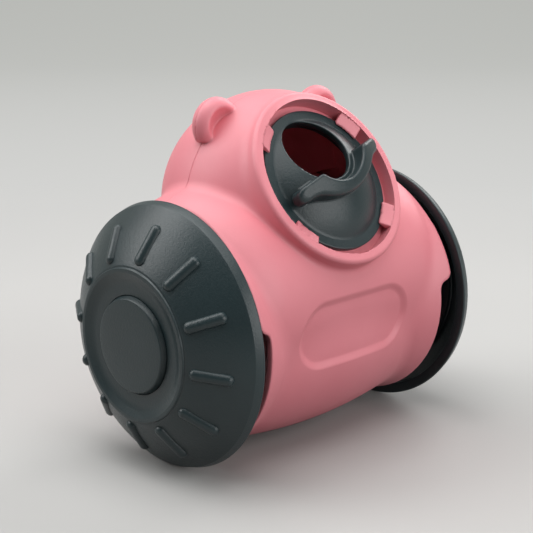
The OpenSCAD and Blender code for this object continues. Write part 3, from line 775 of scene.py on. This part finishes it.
for name, obj in nodes.items():
    obj.data.materials.clear()
    obj.data.materials.append(node_material(name))

# Pieces

SHELL_STEP = 0.74
LID_STEP = 0.45
# Corners of the boxes to mesh; their odd places keep grid points off flat faces
SHELL_BOXES = (
    ("front_shell", front_shell, (-49.03, -45.07, 1.11), (49.5, 6.5, 124.5)),
    ("rear_shell", rear_shell, (-49.03, 3.61, 1.11), (49.5, 43.5, 124.5)),
)
LID_LO, LID_HI = (-28.13, -28.07, -9.31), (28.3, 28.3, 9.5)
MIRROR_X = np.array((-1.0, 1.0, 1.0))

for name, field, lo, hi in SHELL_BOXES:
    v, q = contour(field, lo, hi, SHELL_STEP)
    normals = corner_normals(field, v, q)
    piece(name + "_moulded", v, q.tolist(), normals, PINK, "body", name)

for name, (v, q, normals) in (("wheel", wheel()), ("hub_cap", hub_cap())):
    piece("right_" + name + "_moulded", v, q, normals, GREY,
          "right_wheel_set", "right_" + name)
    piece("left_" + name + "_moulded", v * MIRROR_X, [f[::-1] for f in q], normals * MIRROR_X, GREY,
          "left_wheel_set", "left_" + name)

v, q = contour(lid, LID_LO, LID_HI, LID_STEP)
v, normals = turned(lid_rows(), v, corner_normals(lid, v, q), LIP)
piece("lid_moulded", v, q.tolist(), normals, GREY, "lid_set", "lid")

# Stage

PAPER = srgb(180, 179, 177)
PAPER_LIGHT = srgb(185, 184, 182)
BOUNCE = srgb(80, 75, 74)
# Tones of the painted light that the far paper glows with: brighter near the toy, darker far back
FAR_NEAR = srgb(212, 212, 210)
FAR_BACK = srgb(170, 172, 167)
# Distances from the toy over which the paper begins to glow with painted light, and over which that painted
# light changes its tone, darker further back
GLOW_SPAN, FAR_SPAN = (0.22, 0.5), (0.45, 2.2)
SWEEP_HALF, SWEEP_FRONT, SWEEP_BACK, SWEEP_TOP = 4.0, -1.6, 1.8, 3.0
BEND_R, BEND_STEPS = 0.5, 25
CAMERA_SIDE = (0.7106, -0.7036, 0.0)
CAMERA_UP = (0.1776, 0.1793, 0.9676)
CAMERA_BACK = (-0.68082, -0.68761, 0.25236)
CAMERA_PLACE = (-0.31439, -0.31188, 0.17593)


def paper():
    """Pale paper that the camera sees brighter than the toy does, and that far away glows with painted light,
    darker further back.
    """
    mat, tree, bsdf = node_tree("paper")
    coords = object_coords(tree)
    length = tree.nodes.new("ShaderNodeVectorMath")
    length.operation = "LENGTH"
    feed(tree, length.inputs[0], coords)
    away = length.outputs["Value"]
    path = tree.nodes.new("ShaderNodeLightPath")
    seen = path.outputs["Is Camera Ray"]
    for ray in ("Is Glossy Ray", "Is Transmission Ray"):
        seen = maths(tree, "MAXIMUM", seen, path.outputs[ray])
    tone = mixed(tree, noise(tree, coords, scale=6.0, detail=2.0), PAPER, PAPER_LIGHT)
    feed(tree, bsdf.inputs["Base Color"], mixed(tree, seen, BOUNCE, tone))
    feed(tree, bsdf.inputs["Roughness"], 0.9)
    feed(tree, bsdf.inputs["Specular IOR Level"], 0.1)
    glow = tree.nodes.new("ShaderNodeEmission")
    far_painted_light = mixed(tree, remap(tree, away, FAR_SPAN, 0.0, 1.0), FAR_NEAR, FAR_BACK)
    feed(tree, glow.inputs["Color"], far_painted_light)
    blend = tree.nodes.new("ShaderNodeMixShader")
    feed(tree, blend.inputs[0], maths(tree, "MULTIPLY", remap(tree, away, GLOW_SPAN, 0.0, 1.0), seen))
    feed(tree, blend.inputs[1], bsdf.outputs[0])
    feed(tree, blend.inputs[2], glow.outputs[0])
    out = next(n for n in tree.nodes if n.type == "OUTPUT_MATERIAL")
    feed(tree, out.inputs[0], blend.outputs[0])
    return mat


def sweep():
    """Floor and backdrop in one curved sheet behind the toy, as seen by the camera."""
    side = np.array(CAMERA_SIDE[:2])
    ahead = np.array((-CAMERA_SIDE[1], CAMERA_SIDE[0]))
    bend = SWEEP_BACK - BEND_R
    line = [(SWEEP_FRONT, 0.0), (bend, 0.0)]
    line += [(bend + BEND_R * math.sin(t), BEND_R - BEND_R * math.cos(t))
             for t in np.linspace(0.0, math.pi / 2.0, BEND_STEPS)[1:]]
    line.append((SWEEP_BACK, SWEEP_TOP))
    verts, faces = [], []
    for i, (d, z) in enumerate(line):
        for s in (-SWEEP_HALF, SWEEP_HALF):
            p = ahead * d + side * s
            verts.append((p[0], p[1], z))
        if i:
            faces.append((2 * i - 2, 2 * i - 1, 2 * i + 1, 2 * i))
    mesh = bpy.data.meshes.new("sweep")
    mesh.from_pydata(verts, [], faces)
    mesh.shade_smooth()
    obj = bpy.data.objects.new("sweep", mesh)
    bpy.context.scene.collection.objects.link(obj)
    mesh.materials.append(paper())


sweep()

# Light

LAMP_AIM = np.array((0.0, 0.0, 0.06))
LAMP_UP = (0.0, 1.0, 0.2)
WORLD_COLOUR, WORLD_STRENGTH = (0.9, 0.92, 0.92, 1.0), 0.2


def stand(obj, x, y, z, place):
    """Gives an object its three axes and its place."""
    m = np.eye(4)
    m[:3, 0], m[:3, 1], m[:3, 2], m[:3, 3] = x, y, z, place
    obj.matrix_world = Matrix(m.tolist())


def lamp(name, place, size, power):
    """Round area lamp that looks at the middle of the toy."""
    light = bpy.data.lights.new(name, "AREA")
    light.shape = "DISK"
    light.size = size
    light.energy = power
    obj = bpy.data.objects.new(name, light)
    bpy.context.scene.collection.objects.link(obj)
    z = np.array(place) - LAMP_AIM
    z /= np.linalg.norm(z)
    x = np.cross(LAMP_UP, z)
    x /= np.linalg.norm(x)
    stand(obj, x, np.cross(z, x), z, place)


lamp("back_light", (-0.1, 0.45, 0.95), size=0.9, power=5.7)
lamp("top_light", (-0.1, -0.2, 0.98), size=0.9, power=4.8)
lamp("left_light", (-0.7, 0.7, 0.7), size=0.8, power=5.9)
lamp("right_light", (0.85, 0.1, 0.7), size=0.8, power=5.6)
lamp("front_light", (0.25, -1.05, 0.3), size=1.1, power=8.3)

world = bpy.data.worlds.new("studio")
bpy.context.scene.world = world
world.use_nodes = True
background = world.node_tree.nodes["Background"]
background.inputs["Color"].default_value = WORLD_COLOUR
background.inputs["Strength"].default_value = WORLD_STRENGTH

# Camera

camera = bpy.data.cameras.new("camera")
camera.lens = 85.46
camera.sensor_width = 36.0
camera.sensor_fit = "HORIZONTAL"
view = bpy.data.objects.new("camera", camera)
bpy.context.scene.collection.objects.link(view)
stand(view, CAMERA_SIDE, CAMERA_UP, CAMERA_BACK, CAMERA_PLACE)
bpy.context.scene.camera = view
bpy.context.scene.view_settings.view_transform = "Standard"
